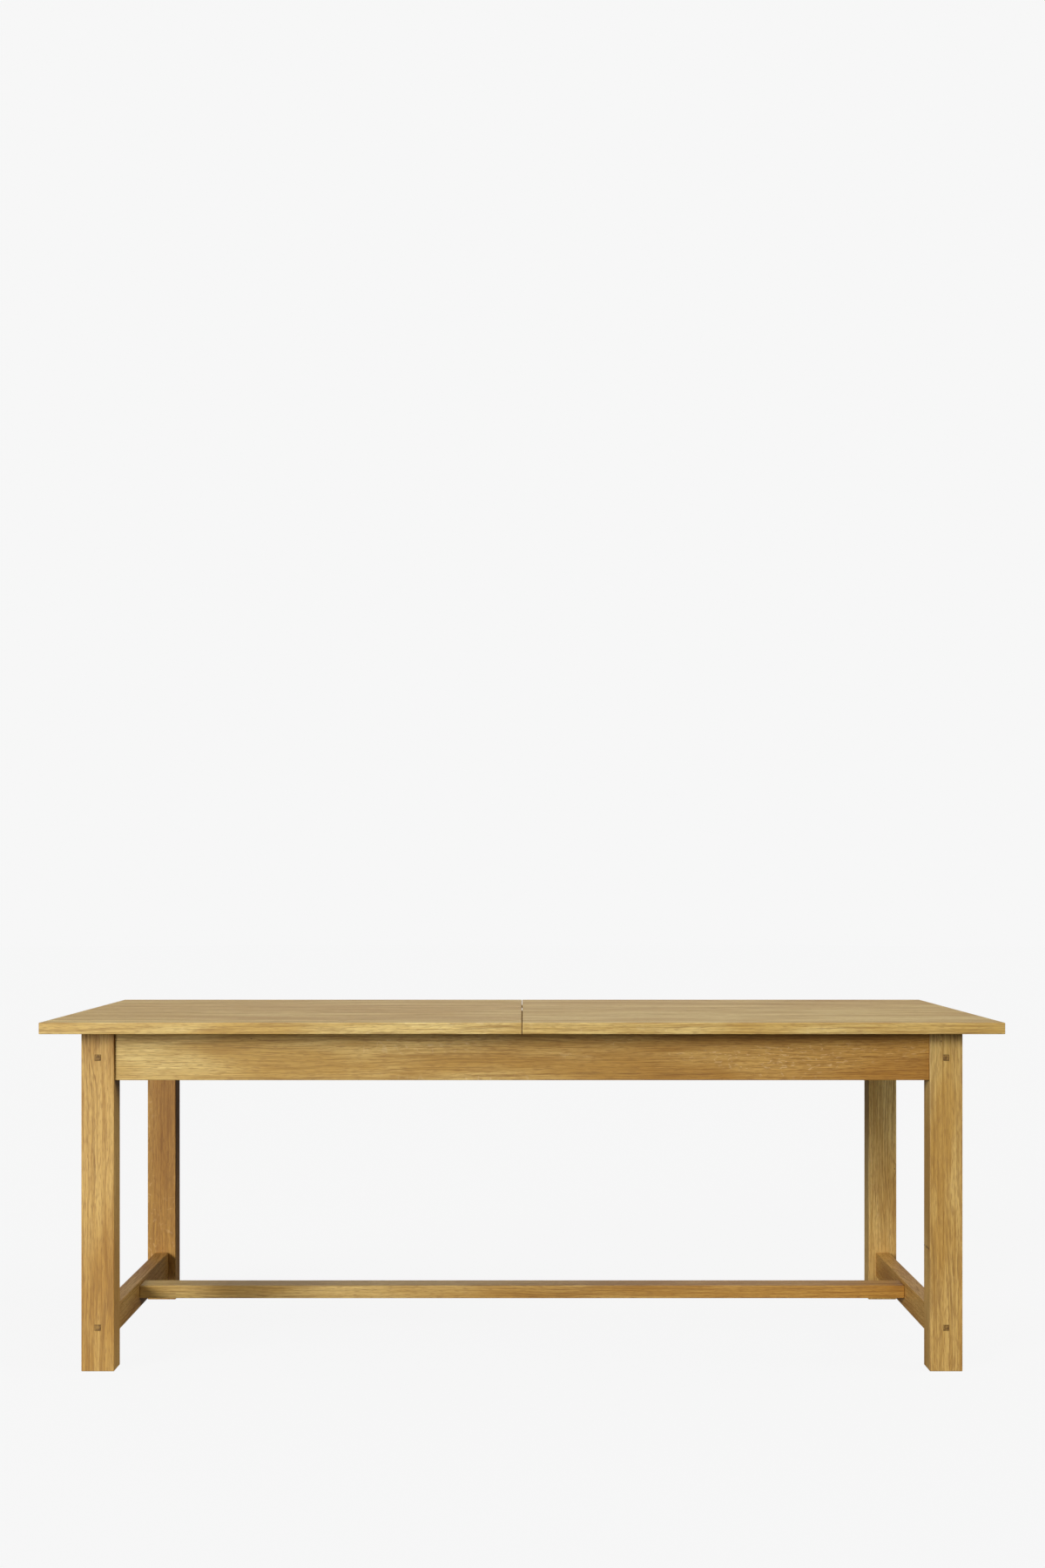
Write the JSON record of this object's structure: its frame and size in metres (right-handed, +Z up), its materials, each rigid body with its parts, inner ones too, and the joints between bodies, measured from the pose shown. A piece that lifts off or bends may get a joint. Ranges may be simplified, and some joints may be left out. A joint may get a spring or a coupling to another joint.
{
  "type": "extending dining table",
  "caption": "Oak refectory dining table with an H stretcher and pegged legs; the top halves part at a centre seam on geared slides over a fixed apron frame for a stored leaf.",
  "frame": {"origin": "on the floor under the centre of the closed table", "axes": "+X along the table's length, towards the right-hand half; +Y from the front long side to the rear long side; +Z up"},
  "size_m": [2.1, 1.05, 0.77],
  "materials": {
    "oak_top": "oiled oak, satin",
    "oak_frame": "oiled oak, satin",
    "oak_end_grain": "oiled oak end grain, dark",
    "beech": "planed beech, unfinished",
    "zinc_steel": "zinc plated",
    "brass": "satin brass",
    "nylon": "moulded nylon",
    "glide_plastic": "moulded dark plastic"
  },
  "bodies": {
    "frame": {"leg_front_left": "oak_frame", "leg_front_right": "oak_frame", "leg_rear_left": "oak_frame", "leg_rear_right": "oak_frame", "apron_front": "oak_frame", "apron_rear": "oak_frame", "apron_left": "oak_frame", "apron_right": "oak_frame", "end_stretcher_left": "oak_frame", "end_stretcher_right": "oak_frame", "centre_stretcher": "oak_frame", "apron_pegs": "oak_end_grain", "stretcher_bolt_plugs": "oak_end_grain", "stretcher_bolts": "zinc_steel", "barrel_nuts": "zinc_steel", "corner_braces": "beech", "brace_bolts": "zinc_steel", "floor_glides": "glide_plastic", "cross_rails_inner": "beech", "cross_rails_outer": "beech", "fixed_rail_front": "beech", "fixed_rail_rear": "beech", "rail_screws": "zinc_steel", "fixed_channels_front": "zinc_steel", "fixed_channels_rear": "zinc_steel", "pinion_brackets": "zinc_steel", "pinion_axles": "zinc_steel", "axle_clips": "zinc_steel", "leaf_lower": "oak_top", "leaf_upper": "oak_top", "leaf_hinges": "brass", "leaf_dowels": "beech", "leaf_bearers": "beech"},
    "left_half": {"top_left": "oak_top", "runner_front_left": "beech", "runner_rear_left": "beech", "cleats_left": "beech", "moving_channels_left": "zinc_steel", "rack_front_left": "nylon", "rack_rear_left": "nylon", "top_screws_left": "zinc_steel", "seam_dowels": "beech", "bolt_keepers": "brass"},
    "right_half": {"top_right": "oak_top", "runner_front_right": "beech", "runner_rear_right": "beech", "cleats_right": "beech", "moving_channels_right": "zinc_steel", "rack_front_right": "nylon", "rack_rear_right": "nylon", "top_screws_right": "zinc_steel", "bolt_housings": "brass"},
    "pinion_front": {"pinion_front": "nylon"},
    "seam_bolt_front": {"seam_bolt_front": "brass"},
    "ball_cage_front_left": {"ball_cage_front_left": "zinc_steel"},
    "ball_cage_front_right": {"ball_cage_front_right": "zinc_steel"},
    "pinion_rear": {"pinion_rear": "nylon"},
    "seam_bolt_rear": {"seam_bolt_rear": "brass"},
    "ball_cage_rear_left": {"ball_cage_rear_left": "zinc_steel"},
    "ball_cage_rear_right": {"ball_cage_rear_right": "zinc_steel"}
  },
  "joints": [
    {"name": "top_left_slide", "type": "slide", "parent": "frame", "child": "left_half", "axis": [-1, 0, 0], "range_m": [0, 0.255]},
    {"name": "top_right_slide", "type": "slide", "parent": "frame", "child": "right_half", "axis": [1, 0, 0], "range_m": [0, 0.255]},
    {"name": "pinion_front_turn", "type": "hinge", "parent": "frame", "child": "pinion_front", "pos_m": [0, -0.39, 0.721], "axis": [0, 0, 1], "range_deg": [0, 815]},
    {"name": "pinion_rear_turn", "type": "hinge", "parent": "frame", "child": "pinion_rear", "pos_m": [0, 0.39, 0.721], "axis": [0, 0, 1], "range_deg": [-815, 0]},
    {"name": "ball_cage_front_left_slide", "type": "slide", "parent": "frame", "child": "ball_cage_front_left", "axis": [-1, 0, 0], "range_m": [0, 0.128]},
    {"name": "ball_cage_rear_left_slide", "type": "slide", "parent": "frame", "child": "ball_cage_rear_left", "axis": [-1, 0, 0], "range_m": [0, 0.128]},
    {"name": "ball_cage_front_right_slide", "type": "slide", "parent": "frame", "child": "ball_cage_front_right", "axis": [1, 0, 0], "range_m": [0, 0.128]},
    {"name": "ball_cage_rear_right_slide", "type": "slide", "parent": "frame", "child": "ball_cage_rear_right", "axis": [1, 0, 0], "range_m": [0, 0.128]},
    {"name": "seam_bolt_front_slide", "type": "slide", "parent": "right_half", "child": "seam_bolt_front", "axis": [-1, 0, 0], "range_m": [0, 0.022]},
    {"name": "seam_bolt_rear_slide", "type": "slide", "parent": "right_half", "child": "seam_bolt_rear", "axis": [-1, 0, 0], "range_m": [0, 0.022]}
  ],
  "couplings": [
    {"joint": "top_right_slide", "follows": "top_left_slide", "ratio": 1},
    {"joint": "pinion_front_turn", "follows": "top_left_slide", "rad_per_m": 55.556},
    {"joint": "pinion_rear_turn", "follows": "top_left_slide", "rad_per_m": -55.556},
    {"joint": "ball_cage_front_left_slide", "follows": "top_left_slide", "ratio": 0.5},
    {"joint": "ball_cage_rear_left_slide", "follows": "top_left_slide", "ratio": 0.5},
    {"joint": "ball_cage_front_right_slide", "follows": "top_left_slide", "ratio": 0.5},
    {"joint": "ball_cage_rear_right_slide", "follows": "top_left_slide", "ratio": 0.5}
  ]
}
